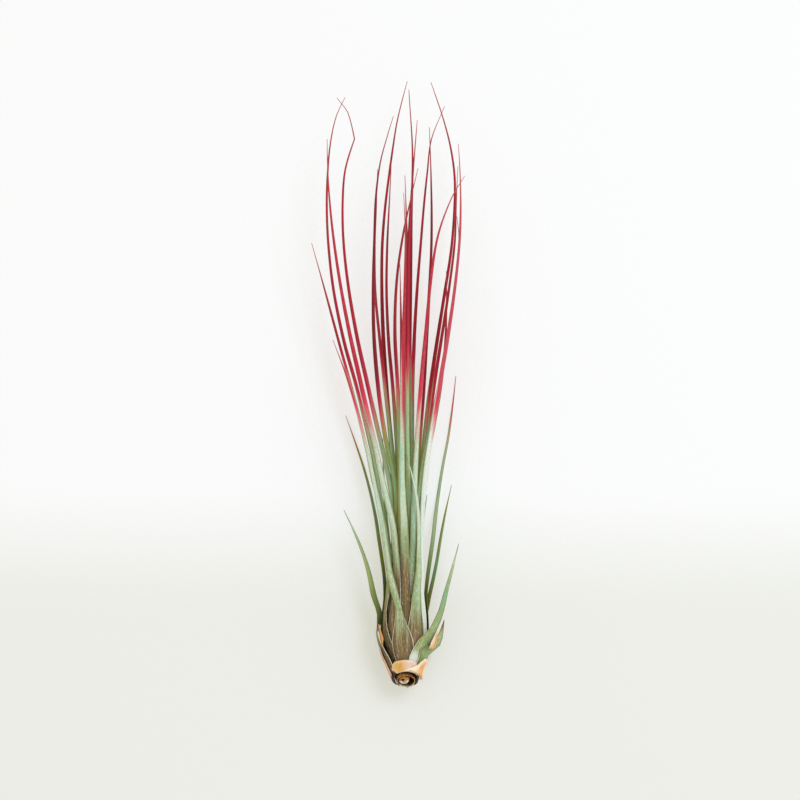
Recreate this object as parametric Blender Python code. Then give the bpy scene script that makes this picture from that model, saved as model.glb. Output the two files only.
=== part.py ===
"""A bare-rooted air plant of the rush-leaved kind, lying on its side on a flat surface.

Sizes are millimetres until a mesh is made. +X is the plant's right, +Y runs from the cut stem to
the leaf tips and +Z is up. Each leaf is one solid: a clasping sheath round the stem, a channelled
blade and a needle tip. The sheaths nest inside each other, and the blades are bent clear of each
other where they would touch.
"""

import math
from dataclasses import dataclass

import bmesh
import bpy
import numpy as np
from mathutils import Vector

MM = 0.001

# The blades are laid out as they look from this height above the surface, over the cut end.
VIEW_ELEVATION = math.radians(72)
VIEW_SHIFT = -0.4
# The courses are measured across from a line this far to the left of the stem's axis.
AXIS_SHIFT = 1.4

# The last stretch of the stem curls up, towards whoever looks down on the plant.
CURL_LENGTH = 16.0
CURL_ANGLE = math.radians(28)

# Outer radius of the nest of sheaths, at stations along the stem from the cut end.
NEST_STATIONS = (-1, 3, 6, 10, 14, 19, 26, 34, 44)
NEST_RADII = (6.3, 7.5, 8.7, 10.3, 12.0, 14.0, 15.3, 15.3, 14.4)

# Every leaf has its sections at these stations, so that neighbours stay parallel. The last one lies
# past all the tips.
STATIONS = (-1, 3, 6, 10, 14, 19, 26, 34, 44, 54, 64, 75, 87, 100, 114, 130, 150, 174, 200,
            224, 244, 262, 278, 292, 305, 320)
TIP_MARGIN = 5.0

SHEATH_WALL = 0.62
LAYER_STEP = 1.05
# Half of what a sheath wraps, in degrees, for the outermost and the innermost one.
SHEATH_WRAPS = (38, 24)
# The usual slack of a sheath, the steps it is tried in and the least turn between neighbours.
NEST_SLACK, NEST_TURN_STEP, SHEATH_CLEARANCE = 24, 6, 3
SHEATH_FADE = 24.0
BLADE_WALL = 1.1
# Half of what a blade's channel curls, in radians, and the share of it that is gone at the tip.
BLADE_CURL, CURL_LOSS = 0.9, 0.5
TAPER_LENGTH = 310
NEEDLE_WIDTH = 1.1
TIP_WALL = 0.62
TIP_HALF_WIDTH = 0.34
TIP_LENGTH = 1.02
TIP_CURL = 0.5

# A leaf grows from where its sheath clears the stem by this gap, looked for along the stem.
STEM_GAP = 0.3
ROOT_FROM, ROOT_TO, ROOT_STEP = 1.0, 30.0, 0.25
ROOT_MARGIN = 1.0

SCALE_TIP_WRAP = 0.02
SCALE_TIP_LENGTH = 0.6
SCALE_MARGIN = 1.0

# The blades keep to their layers as far as the bundle's end and are free from where it opens.
BUNDLE_TURNS_FROM, BUNDLE_TURNS_TO, BUNDLE_TURNS_LEAST = 30, 60, 12.0
BUNDLE_END, FREE_FROM = 64, 114
BUNDLE_SIDE = 0.8
ACROSS_LEAD = 12
# A course takes over this far ahead of its first point, and skips points nearer than the step.
COURSE_LEAD, COURSE_STEP = 6.0, 2.0
FREE_STATIONS = tuple(station for station in STATIONS if station > BUNDLE_END)
# Free blades turn this share of the way to lying flat.
FLAT_SHARE = 0.65
OUTER_LAYERS = 5.0

# Free blades are lifted clear of each other by this much.
BLADE_GAP = 1.0
PARTING_ROUNDS = 400
LAST_LIFTS = 12
PARTING_DISCS = 5
PUSH_SHARE = 0.35
EVEN_SHARE = 0.22
TARGET_SHARE = 0.01
# A blade that lies on the surface comes down to this height over this length.
LYING_HEIGHT, LYING_REACH = 0.6, 40
FLOOR_MARGIN = 1.05

# Height of the middle of the tuft above the middle of the bundle, and the blades' spread from it.
TUFT_STATIONS = (66, 120, 200, 310)
TUFT_RISE = (0, 2.5, 8, 17)
TUFT_SPREAD = (13.4, 16, 22, 30)


@dataclass(frozen=True)
class Leaf:
    """One leaf: its turn round the stem in degrees, its blade's width and its course to the tip.

    The sheath is how far it wraps past its root before it fades into the blade. The blade keeps
    to its neighbours as far as the station that it parts at. The slack is how far its sheath may
    turn away to lie further out.
    """

    name: str
    turn: float
    width: float
    course: tuple
    lies_down: bool = False
    sheath: float = 4.0
    parts_at: float = BUNDLE_END
    slack: int = NEST_SLACK


# Outermost first. A course is (across, up) in the view from VIEW_ELEVATION, the tip last.
LEAVES = (
    Leaf("leaf_01_underside_belly", 260.5, 5.5, ((-3, 64), (-5, 84), (-6, 104)), sheath=36),
    Leaf("leaf_02_right_stub", 16, 6.2, ((15.2, 19), (17.2, 25), (19.1, 31), (20.3, 36.2)),
         parts_at=-4),
    Leaf("leaf_03_right_low", 44, 6.0, ((14.8, 24), (16.8, 34), (19.5, 44), (24, 60), (27.4, 73)),
         parts_at=1),
    Leaf("leaf_05_front_left", 99, 7.4,
         ((-3.2, 34), (-4.6, 44), (-7.5, 64), (-12.5, 94), (-20, 127), (-27.5, 153), (-35, 173)),
         sheath=4, parts_at=36, slack=0),
    Leaf("leaf_04_left_low", 175, 8.0, ((-11.4, 32), (-13.7, 44), (-18.5, 64), (-26.5, 83), (-29.5, 89)),
         parts_at=8),
    Leaf("leaf_06_underside_right", 305, 5.5, ((6, 50), (9, 74), (12, 96))),
    Leaf("leaf_07_front_right", 62, 9.2, ((7, 39), (7.8, 69), (7.3, 88), (4.8, 103), (1.1, 115.5))),
    Leaf("leaf_08_left_dark", 212, 5.5,
         ((-9, 44), (-10.8, 64), (-15, 91), (-19.5, 108), (-29, 135.2)), lies_down=True, parts_at=40),
    Leaf("leaf_09_right_dark", 318, 5.5, ((14.8, 44), (16.3, 59), (21.5, 89), (24.3, 101)), parts_at=30),
    Leaf("leaf_10_right_slim", 342, 5.5,
         ((13.8, 49), (14.5, 69), (18.5, 101), (23.8, 130), (26.8, 155.3)), lies_down=True, parts_at=40),
    Leaf("leaf_11_left_outermost", 162, 5.6,
         ((-9, 64), (-15, 104), (-24.5, 144), (-35.5, 184), (-41.5, 206), (-46, 221.7)), slack=0),
    Leaf("leaf_12_underside_left", 236, 5.4, ((-6, 64), (-9, 90), (-10, 124))),
    Leaf("leaf_13_right_broad", 30, 7.4,
         ((9.5, 64), (11, 104), (17.3, 144), (24, 184), (28.5, 224), (28.6, 259), (27.8, 272))),
    Leaf("leaf_14_left_broad", 122, 7.2,
         ((-5.6, 64), (-10.6, 104), (-19.5, 144), (-28.3, 184), (-34.8, 224), (-37.8, 261), (-38, 274))),
    Leaf("leaf_15_middle_broad", 92, 8.2,
         ((0, 64), (-0.5, 104), (-0.3, 144), (0.5, 184), (1.3, 222), (0.3, 246.6))),
    Leaf("leaf_16_left_bowed", 190, 5.6,
         ((-8, 64), (-13, 104), (-22, 144), (-32.5, 184), (-37.8, 224), (-37.5, 264), (-34.3, 285),
          (-29, 297))),
    Leaf("leaf_17_right_hooked", 60, 7.0,
         ((6, 104), (8.5, 144), (12.3, 184), (17.5, 224), (22.5, 239.5), (31.5, 255.2))),
    Leaf("leaf_18_right_arched", 330, 5.8,
         ((8, 84), (13, 144), (19, 184), (25, 224), (25.5, 264), (20.8, 285), (14, 305.6))),
    Leaf("leaf_19_left_dark_tall", 136, 6.6,
         ((-3, 94), (-9, 124), (-14.5, 174), (-14.5, 214), (-10.8, 264), (-4.5, 286))),
    Leaf("leaf_20_underside_middle", 284, 5.6, ((2, 64), (3, 124), (6, 170), (7, 196))),
    Leaf("leaf_21_right_pair", 12, 6.2,
         ((9, 84), (14.8, 144), (21, 184), (26, 221), (27.2, 251), (27.8, 261))),
    Leaf("leaf_22_left_kinked", 174, 6.6,
         ((-6, 94), (-16.5, 144), (-25, 184), (-30, 224), (-29, 259), (-24.5, 279), (-30, 291),
          (-34, 296))),
    Leaf("leaf_23_tallest", 232, 6.4,
         ((-2.5, 84), (-8, 144), (-10.3, 184), (-10.3, 224), (-6, 264), (-2.8, 285), (2.5, 306.4))),
    Leaf("leaf_24_right_leaning", 2, 6.4,
         ((5, 104), (4.8, 144), (6.3, 184), (9.3, 224), (13.3, 264), (17, 284), (21.5, 292))),
    Leaf("leaf_25_middle_bowed", 112, 5.8,
         ((-1.5, 104), (-2.5, 144), (-4, 184), (-1.5, 215), (3, 238), (7.8, 259))),
    Leaf("leaf_26_right_upright", 300, 6.0,
         ((7, 104), (10, 144), (12.5, 184), (14.5, 224), (14.3, 256), (13.5, 282.2))),
    Leaf("leaf_27_left_slim", 205, 5.6,
         ((-2.5, 104), (-4.8, 144), (-8, 184), (-7.8, 224), (-6.3, 252), (-5.8, 264.3))),
    Leaf("leaf_28_middle_right", 72, 6.4,
         ((2.5, 104), (2, 144), (2.3, 184), (3, 224), (5.3, 259), (7.3, 284))),
    Leaf("leaf_29_left_paired", 200, 5.2,
         ((-6.5, 124), (-10.8, 164), (-14.3, 204), (-13.3, 244), (-12.8, 260))),
    Leaf("leaf_30_right_short", 335, 5.0, ((10.5, 104), (18.5, 146), (21.9, 184), (21.8, 207.7))),
    Leaf("leaf_31_right_inner", 40, 5.0, ((9, 104), (18, 150), (24, 186), (28.2, 220), (27, 235))),
    Leaf("leaf_32_middle_tall", 276, 5.8,
         ((3, 124), (3.3, 164), (4, 204), (4.5, 244), (5, 262), (3, 301.8))),
    Leaf("leaf_33_middle_left", 262, 5.2, ((1, 124), (1.3, 164), (2.2, 214), (1, 257))),
    Leaf("leaf_34_middle_short", 150, 5.0, ((-1, 124), (-0.9, 174), (-1.5, 211))),
)


@dataclass(frozen=True)
class DryScale:
    """A dead, papery leaf base: its turn, half its wrap, and where along the stem it lies.

    The wrap is at its foot. The lean turns its tip sideways, a high fullness makes it a dome and
    a low one a spike, and a lifted one lies over the others.
    """

    name: str
    turn: float
    wrap: float
    start: float
    end: float
    lean: float = 0.0
    fullness: float = 1.6
    lift: float = 0.0


DRY_SCALES = (
    DryScale("dry_sheath_front", 97, 62, 0, 8.6, fullness=3.2),
    DryScale("dry_sheath_right", 50, 78, -1.5, 11, lean=-28, fullness=0.6, lift=1.6),
    DryScale("dry_sheath_left", 200, 38, -1, 18, lean=-36),
    DryScale("dry_sheath_underside", 285, 40, 2, 15, lean=8),
    DryScale("dry_tip_right", 28, 11, 15, 25, lean=-4, lift=1.7),
    DryScale("dry_tip_left", 147, 10, 17, 28, lean=2),
    DryScale("dry_tip_low_right", 350, 22, 3, 17, lean=6),
)

STEM_PROFILE = ((0, 2.4), (3, 2.5), (5, 3.3), (8, 4.6), (12, 5.0), (17, 4.6), (22, 4.1), (27, 3.0),
                (30, 1.2))
STEM_PITH_RADIUS, STEM_PITH_FLOOR = 1.0, 0.6
STEM_PITH_DEPTH = 3.5
STEM_SIDES = 16
COLLAR_START, COLLAR_END = -0.6, 5.4
COLLAR_OUTER, COLLAR_INNER = 4.5, 3.9
COLLAR_SIDES = 20

COLOURS = {
    "green_leaf": ((0.33, 0.42, 0.25, 1), 0.6),
    "red_leaf": ((0.42, 0.06, 0.09, 1), 0.5),
    "dry_sheath": ((0.66, 0.42, 0.22, 1), 0.7),
    "cut_stem": ((0.50, 0.33, 0.18, 1), 0.8),
}
# Leaves whose tips lie past this station turn red.
RED_FROM = 145.0
SHARP_ANGLE = math.radians(50)


def smooth_step(value):
    """0 below 0, 1 above 1 and an even ease between them."""
    value = min(1.0, max(0.0, value))
    return value * value * (3 - 2 * value)


def mix(first, last, share):
    """The value at this share of the way from the first to the last."""
    return first + (last - first) * share


def nest_radius(station):
    """The outer radius of the nest of sheaths at a station."""
    return float(np.interp(station, NEST_STATIONS, NEST_RADII))


def stem_radius(station):
    """The radius of the woody stem at a station."""
    stations, radii = zip(*STEM_PROFILE)
    return float(np.interp(station, stations, radii))


def section_size(blade, station):
    """Half the width of a leaf's section along its arc, the arc's half angle and its wall."""
    round_the_stem = nest_radius(station) - blade.layer
    sheath_end = blade.root + blade.leaf.sheath
    fade = smooth_step((station - sheath_end) / SHEATH_FADE)
    reach = max(0.0, min(1.0, (station - sheath_end) / (blade.tip - sheath_end)))
    taper = (1 - reach) ** (1 + blade.tip / TAPER_LENGTH)
    half = mix(blade.wrap * round_the_stem, mix(NEEDLE_WIDTH, blade.leaf.width, taper) / 2, fade)
    opened = smooth_step((station - BUNDLE_END) / (FREE_FROM - BUNDLE_END))
    curl = mix(half / round_the_stem, BLADE_CURL * (1 - CURL_LOSS * reach), opened)
    wall = mix(SHEATH_WALL, mix(BLADE_WALL, TIP_WALL, reach), opened)
    return half, curl, wall


def turns_apart(first, last):
    """Degrees between two turns round the stem."""
    return abs((first - last + 180) % 360 - 180)


def nest_leaves():
    """The turn, the half wrap and the depth of each sheath, as far out as a small turn lets it lie."""
    nested = []
    for index, leaf in enumerate(LEAVES):
        wrap = mix(*SHEATH_WRAPS, index / (len(LEAVES) - 1))
        options = []
        for shift in range(-leaf.slack, leaf.slack + 1, NEST_TURN_STEP):
            turn = leaf.turn + shift
            faced = [depth for other, width, depth in nested
                     if turns_apart(turn, other) < wrap + width + SHEATH_CLEARANCE]
            options.append((max(faced, default=0.0) + LAYER_STEP, abs(shift), turn))
        depth, _, turn = min(options)
        nested.append((turn, wrap, depth))
    return nested


def core_radius(station):
    """The radius that the leaf bases stand round: the collar's, and past it the stem's."""
    return COLLAR_OUTER if station < COLLAR_END + STEM_GAP else stem_radius(station)


def root_station(layer):
    """Where a sheath of this layer meets the stem."""
    for station in np.arange(ROOT_FROM, ROOT_TO, ROOT_STEP):
        inner = nest_radius(station) - layer - SHEATH_WALL / 2
        if inner > core_radius(station) + STEM_GAP:
            return float(station)
    return ROOT_TO


def axis_frame(station, middle):
    """The stem's axis at a station: its point, its direction and its upward normal."""
    if station >= CURL_LENGTH:
        return Vector((0, station, middle)), Vector((0, 1, 0)), Vector((0, 0, 1))
    bend = CURL_LENGTH / CURL_ANGLE
    angle = (CURL_LENGTH - station) / bend
    point = Vector((0, CURL_LENGTH - bend * math.sin(angle), middle + bend * (1 - math.cos(angle))))
    ahead = Vector((0, math.cos(angle), -math.sin(angle)))
    return point, ahead, Vector((0, math.sin(angle), math.cos(angle)))


def free_rise(leaf, layer, station, middle):
    """How far above the bundle's middle a free blade runs at a station."""
    spread = float(np.interp(station, TUFT_STATIONS, TUFT_SPREAD))
    share = 1 - layer / nest_radius(FREE_FROM)
    rise = float(np.interp(station, TUFT_STATIONS, TUFT_RISE))
    rise += spread * share * math.sin(math.radians(leaf.turn))
    if leaf.lies_down:
        rise = mix(rise, LYING_HEIGHT - middle, smooth_step((station - BUNDLE_TURNS_TO) / LYING_REACH))
    return rise


def course_line(leaf, turn, layer, middle):
    """The blade's course as lists of station and place across, from inside the bundle to the tip."""
    stations = [min(float(BUNDLE_TURNS_FROM), leaf.course[0][1] - COURSE_LEAD)]
    across = [(nest_radius(stations[0]) - layer) * math.cos(turn)]
    for from_line, up in leaf.course:
        x = from_line - AXIS_SHIFT
        height = middle + free_rise(leaf, layer, up, middle)
        station = (up + VIEW_SHIFT - height * math.cos(VIEW_ELEVATION)) / math.sin(VIEW_ELEVATION)
        if station > stations[-1] + COURSE_STEP:
            stations.append(station)
            across.append(x)
    return stations, across


def curve_value(stations, values, place):
    """A smooth curve through the values, read at one place."""
    slopes = np.gradient(np.array(values, float), np.array(stations, float))
    index = int(np.clip(np.searchsorted(stations, place) - 1, 0, len(stations) - 2))
    gap = stations[index + 1] - stations[index]
    t = (place - stations[index]) / gap
    first, last = values[index], values[index + 1]
    bend = (t**3 - 2 * t**2 + t) * slopes[index] + (t**3 - t**2) * slopes[index + 1]
    return first + (last - first) * (3 * t**2 - 2 * t**3) + bend * gap


class Blade:
    """A leaf in its nest, with the turns, the places and the sizes of its sections."""

    def __init__(self, leaf, nested, middle):
        self.leaf = leaf
        self.turn = math.radians(nested[0] % 360)
        self.wrap = math.radians(nested[1])
        self.layer = nested[2]
        self.root = root_station(self.layer)
        self.line = course_line(leaf, self.turn, self.layer, middle)
        self.tip = self.line[0][-1]
        inside = [s for s in STATIONS if self.root + ROOT_MARGIN < s < self.tip - TIP_MARGIN]
        self.stations = [self.root, *inside, self.tip]
        self.sizes = [section_size(self, station) for station in self.stations]
        self.turns, self.places = zip(*(self.place_at(station, middle) for station in self.stations))
        self.places = list(self.places)

    def place_at(self, station, middle):
        """The turn of the section at a station, and its place across and up."""
        turn = self.turn
        radius = nest_radius(station) - self.layer
        start = self.line[0][0]
        if station <= start:
            return turn, [radius * math.cos(turn), middle + radius * math.sin(turn)]
        x = curve_value(*self.line, station)
        if self.layer < OUTER_LAYERS:
            share = max(-BUNDLE_SIDE, min(BUNDLE_SIDE, x / radius))
            settled = math.acos(share) if turn < math.pi else 2 * math.pi - math.acos(share)
            reach = max(BUNDLE_TURNS_LEAST, BUNDLE_TURNS_TO - start)
            turn = mix(turn, settled, smooth_step((station - start) / reach))
        free = smooth_step((station - self.leaf.parts_at) / (FREE_FROM - BUNDLE_END))
        across = smooth_step((station - self.leaf.parts_at + ACROSS_LEAD) / (FREE_FROM - BUNDLE_END))
        x = mix(radius * math.cos(turn), x, across)
        rise = mix(radius * math.sin(turn), free_rise(self.leaf, self.layer, station, middle), free)
        flat = math.pi / 2 if turn < math.pi else 1.5 * math.pi
        return mix(turn, flat, FLAT_SHARE * free), [x, middle + rise]


def arc_offsets(blade, index):
    """Points along the middle of a section's arc, as offsets from the section's place."""
    half, curl, _ = blade.sizes[index]
    radius = half / curl
    angles = np.linspace(-curl, curl, PARTING_DISCS)
    turn = blade.turns[index]
    out, along = radius * (np.cos(angles) - 1), radius * np.sin(angles)
    return np.stack([out * math.cos(turn) - along * math.sin(turn),
                     out * math.sin(turn) + along * math.cos(turn)], axis=1)


def free_levels(blade):
    """The blade's free sections, each with the level of the stations that it is parted at."""
    for index, station in enumerate(blade.stations):
        if station > BUNDLE_END:
            yield index, min(len(FREE_STATIONS) - 1, int(np.searchsorted(FREE_STATIONS, station)))


def rise_needed(place, offsets, walls, alive):
    """For each two blades and level, how far the first lies over the second to be clear of it."""
    x = place[..., 0][:, :, None] + offsets[..., 0]
    apart = np.abs(x[:, None, :, :, None] - x[None, :, :, None, :])
    need = (walls[:, None] + walls[None, :] + BLADE_GAP)[..., None, None]
    lift = np.sqrt(np.clip(need**2 - apart**2, 0, None))
    lift = lift + offsets[None, :, :, None, :, 1] - offsets[:, None, :, :, None, 1]
    lift[apart >= need] = -np.inf
    lift = lift.max(axis=(3, 4))
    tall = np.abs(offsets[..., 1]).max(axis=2)
    crossed = tall[:, None] + tall[None, :] + need[..., 0, 0]
    side = np.sign(place[:, None, :, 0] - place[None, :, :, 0])
    swaps = side[:, :, 1:] * side[:, :, :-1] < 0
    both = alive[:, None] & alive[None, :]
    swaps &= both[:, :, 1:] & both[:, :, :-1]
    for part in (slice(1, None), slice(None, -1)):
        raised = np.maximum(lift[:, :, part], crossed[:, :, part])
        lift[:, :, part] = np.where(swaps, raised, lift[:, :, part])
    lift[~both] = -np.inf
    return lift


def free_sections(blades):
    """The places, arcs and half walls of all free sections by blade and level, and which exist."""
    count, depth = len(blades), len(FREE_STATIONS)
    place = np.zeros((count, depth, 2))
    offsets = np.zeros((count, depth, PARTING_DISCS, 2))
    walls = np.zeros((count, depth))
    alive = np.zeros((count, depth), bool)
    for row, blade in enumerate(blades):
        for index, level in free_levels(blade):
            place[row, level] = blade.places[index]
            offsets[row, level] = arc_offsets(blade, index)
            walls[row, level] = blade.sizes[index][2] / 2
            alive[row, level] = True
    return place, offsets, walls, alive


def settle_heights(height, lift, floor, alive):
    """Moves the heights until each upper blade is clear of the lower one, bending evenly."""
    target = height.copy()
    # Two blades keep the order that they have where they first come over each other.
    first_met = np.isfinite(lift).argmax(axis=2)[..., None]
    over = np.take_along_axis(height[:, None] - height[None, :], first_met, axis=2) > 0
    inner = alive[:, 1:-1] & alive[:, :-2] & alive[:, 2:]
    for _ in range(PARTING_ROUNDS):
        short = np.where(over, lift - (height[:, None] - height[None, :]), 0).clip(0)
        push = short.max(axis=1) - short.max(axis=0)
        shift = height - target
        even = np.zeros_like(height)
        even[:, 1:-1] = np.where(inner, shift[:, :-2] + shift[:, 2:] - 2 * shift[:, 1:-1], 0)
        height += alive * (PUSH_SHARE * push + EVEN_SHARE * even - TARGET_SHARE * shift)
        np.maximum(height, floor, out=height, where=alive)
    for _ in range(LAST_LIFTS):
        height[:] = np.maximum(height, np.where(over, lift + height[None], -np.inf).max(axis=1))


def part_blades(blades):
    """Lifts the free blades clear of each other, and keeps which of them lies over which."""
    place, offsets, walls, alive = free_sections(blades)
    height = place[..., 1]
    floor = walls * FLOOR_MARGIN - offsets[..., 1].min(axis=2)
    settle_heights(height, rise_needed(place, offsets, walls, alive), floor, alive)
    for row, blade in enumerate(blades):
        for index, level in free_levels(blade):
            blade.places[index] = [place[row, level, 0], height[row, level]]


def section_points(centre, outward, side, half, curl, wall):
    """The eight corners of a channelled section: two edges, three outside and three inside."""
    radius = half / curl
    corners = [(radius, -curl)]
    corners += [(radius + wall / 2, angle) for angle in (-curl / 2, 0, curl / 2)]
    corners += [(radius, curl)]
    corners += [(radius - wall / 2, angle) for angle in (curl / 2, 0, -curl / 2)]
    return [centre + outward * (r * math.cos(a) - radius) + side * (r * math.sin(a)) for r, a in corners]


def join_rows(mesh, near, far):
    """The band of faces between two rings of corners."""
    for corner in range(len(near)):
        after = (corner + 1) % len(near)
        mesh.faces.new((near[corner], near[after], far[after], far[corner]))


def loft(name, rings, apex=None, tube=False):
    """A closed mesh through rings of equal count.

    It has flat ends, or a point where an apex is given. A tube's last ring joins its first.
    """
    mesh = bmesh.new()
    rows = [[mesh.verts.new(point * MM) for point in ring] for ring in rings]
    for near, far in zip(rows, rows[1:]):
        join_rows(mesh, near, far)
    if tube:
        join_rows(mesh, rows[-1], rows[0])
    else:
        mesh.faces.new(rows[0])
        if apex is None:
            mesh.faces.new(list(reversed(rows[-1])))
        else:
            point = mesh.verts.new(apex * MM)
            last = rows[-1]
            for corner, after in zip(last, last[1:] + last[:1]):
                mesh.faces.new((corner, after, point))
    bmesh.ops.triangulate(mesh, faces=[f for f in mesh.faces if len(f.verts) != 4])
    bmesh.ops.recalc_face_normals(mesh, faces=mesh.faces)
    data = bpy.data.meshes.new(name)
    mesh.to_mesh(data)
    mesh.free()
    data.shade_smooth()
    data.set_sharp_from_angle(angle=SHARP_ANGLE)
    return bpy.data.objects.new(name, data)


def outward_of(turn, up):
    """The direction away from the stem at this turn."""
    return Vector((1, 0, 0)) * math.cos(turn) + up * math.sin(turn)


def leaf_centre(blade, index, middle):
    """The middle of a leaf's section, on the curled stem or free of it."""
    station = blade.stations[index]
    if station >= CURL_LENGTH:
        x, z = blade.places[index]
        return Vector((x, station, z))
    point, _, up = axis_frame(station, middle)
    return point + outward_of(blade.turns[index], up) * (nest_radius(station) - blade.layer)


def leaf_object(blade, middle):
    """The solid of one leaf."""
    centres = [leaf_centre(blade, index, middle) for index in range(len(blade.stations))]
    rings = []
    for index, station in enumerate(blade.stations[:-1]):
        _, ahead, up = axis_frame(station, middle)
        run = (centres[index + 1] - centres[max(0, index - 1)]).normalized()
        opened = smooth_step((station - BUNDLE_END) / (FREE_FROM - BUNDLE_END))
        ahead = ahead.lerp(run, opened).normalized()
        outward = square_to(outward_of(blade.turns[index], up), ahead)
        side = outward.cross(ahead)
        rings.append(section_points(centres[index], outward, side, *blade.sizes[index]))
    run = (centres[-1] - centres[-2]).normalized()
    outward = square_to(outward_of(blade.turns[-1], Vector((0, 0, 1))), run)
    before = centres[-1] - run * TIP_LENGTH
    side = outward.cross(run)
    rings.append(section_points(before, outward, side, TIP_HALF_WIDTH, TIP_CURL, TIP_WALL))
    return loft(blade.leaf.name, rings, centres[-1])


def square_to(direction, ahead):
    """The direction's part that is square to the way ahead, at length one."""
    return (direction - ahead * direction.dot(ahead)).normalized()


def dry_scale_object(scale, middle):
    """The solid of one dead leaf base, wrapped round the others and torn to a point."""
    between = [s for s in STATIONS if scale.start + SCALE_MARGIN < s < scale.end - SCALE_MARGIN]
    stations = [scale.start, *between, scale.end - SCALE_TIP_LENGTH]
    rings = []
    for station in stations:
        share = (station - scale.start) / (scale.end - scale.start)
        wrap = math.radians(scale.wrap) * (1 - share**scale.fullness) + SCALE_TIP_WRAP
        turn = math.radians(scale.turn + scale.lean * share**2)
        point, _, up = axis_frame(station, middle)
        radius = nest_radius(station) + scale.lift
        outward = outward_of(turn, up)
        side = outward_of(turn + math.pi / 2, up)
        centre = point + outward * radius
        rings.append(section_points(centre, outward, side, wrap * radius, wrap, SHEATH_WALL))
    point, _, up = axis_frame(scale.end, middle)
    turn = math.radians(scale.turn + scale.lean)
    apex = point + outward_of(turn, up) * (nest_radius(scale.end) + scale.lift)
    return loft(scale.name, rings, apex)


def round_ring(station, radius, sides, middle):
    """A circle of points round the stem's axis."""
    point, _, up = axis_frame(station, middle)
    steps = [2 * math.pi * index / sides for index in range(sides)]
    return [point + outward_of(turn, up) * radius for turn in steps]


def stem_object(middle):
    """The short woody stem, with the hollow pith open at its cut end."""
    rings = [round_ring(STEM_PITH_DEPTH, STEM_PITH_FLOOR, STEM_SIDES, middle),
             round_ring(0, STEM_PITH_RADIUS, STEM_SIDES, middle)]
    rings += [round_ring(station, radius, STEM_SIDES, middle) for station, radius in STEM_PROFILE]
    return loft("stem", rings)


def collar_object(middle):
    """The ring left by an old leaf base, standing round the cut stem."""
    outline = ((COLLAR_START, COLLAR_OUTER), ((COLLAR_START + COLLAR_END) / 2, COLLAR_OUTER),
               (COLLAR_END, COLLAR_OUTER), (COLLAR_END, COLLAR_INNER), (COLLAR_START, COLLAR_INNER))
    rings = [round_ring(station, radius, COLLAR_SIDES, middle) for station, radius in outline]
    return loft("stem_collar", rings, tube=True)


def make_materials():
    """One Principled material for each finish."""
    made = {}
    for name, (colour, roughness) in COLOURS.items():
        material = bpy.data.materials.new(name)
        material.use_nodes = True
        shader = material.node_tree.nodes["Principled BSDF"]
        shader.inputs["Base Color"].default_value = colour
        shader.inputs["Roughness"].default_value = roughness
        made[name] = material
    return made


def centre_on_origin(objects):
    """Moves the meshes so that the middle of the plant's box, at the surface, is the origin."""
    corners = np.array([v.co[:] for o in objects for v in o.data.vertices])
    low, high = corners.min(axis=0), corners.max(axis=0)
    shift = Vector((-(low[0] + high[0]) / 2, -(low[1] + high[1]) / 2, -low[2]))
    for obj in objects:
        for vertex in obj.data.vertices:
            vertex.co += shift


def main():
    """Makes the whole plant in a collection of its own."""
    for obj in list(bpy.data.objects):
        bpy.data.objects.remove(obj)
    nested = nest_leaves()
    # The lowest facet of the outermost sheath, the belly, lies flat on the surface.
    belly = max(NEST_RADII) - nested[0][2] + SHEATH_WALL / 2
    middle = belly * math.cos(math.radians(SHEATH_WRAPS[0] / 4))
    blades = [Blade(leaf, place, middle) for leaf, place in zip(LEAVES, nested)]
    part_blades(blades)
    made = [(leaf_object(b, middle), "red_leaf" if b.tip > RED_FROM else "green_leaf") for b in blades]
    made += [(dry_scale_object(scale, middle), "dry_sheath") for scale in DRY_SCALES]
    made += [(stem_object(middle), "cut_stem"), (collar_object(middle), "dry_sheath")]
    centre_on_origin([obj for obj, _ in made])
    materials = make_materials()
    plant = bpy.data.collections.new("air_plant")
    bpy.context.scene.collection.children.link(plant)
    for obj, finish in made:
        obj.data.materials.append(materials[finish])
        plant.objects.link(obj)


main()
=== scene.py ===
"""The looks of a bare-rooted, rush-leaved air plant that lies on a pale surface.

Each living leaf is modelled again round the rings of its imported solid, with a channelled blade,
thin margins and a needle tip. The dry leaf bases, the collar and the cut stem are modelled in
their solids' places. Lengths are metres, unless a name ends in mm or its class says so, and
the finishes read millimetres. A finish's mask is a weighted sum of marks and noises, eased
between two values.
"""

import logging
import math
from collections.abc import Callable, Iterable, Sequence
from dataclasses import dataclass, field, replace
from enum import Enum

import bmesh
import bpy
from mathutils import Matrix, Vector, noise


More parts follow.
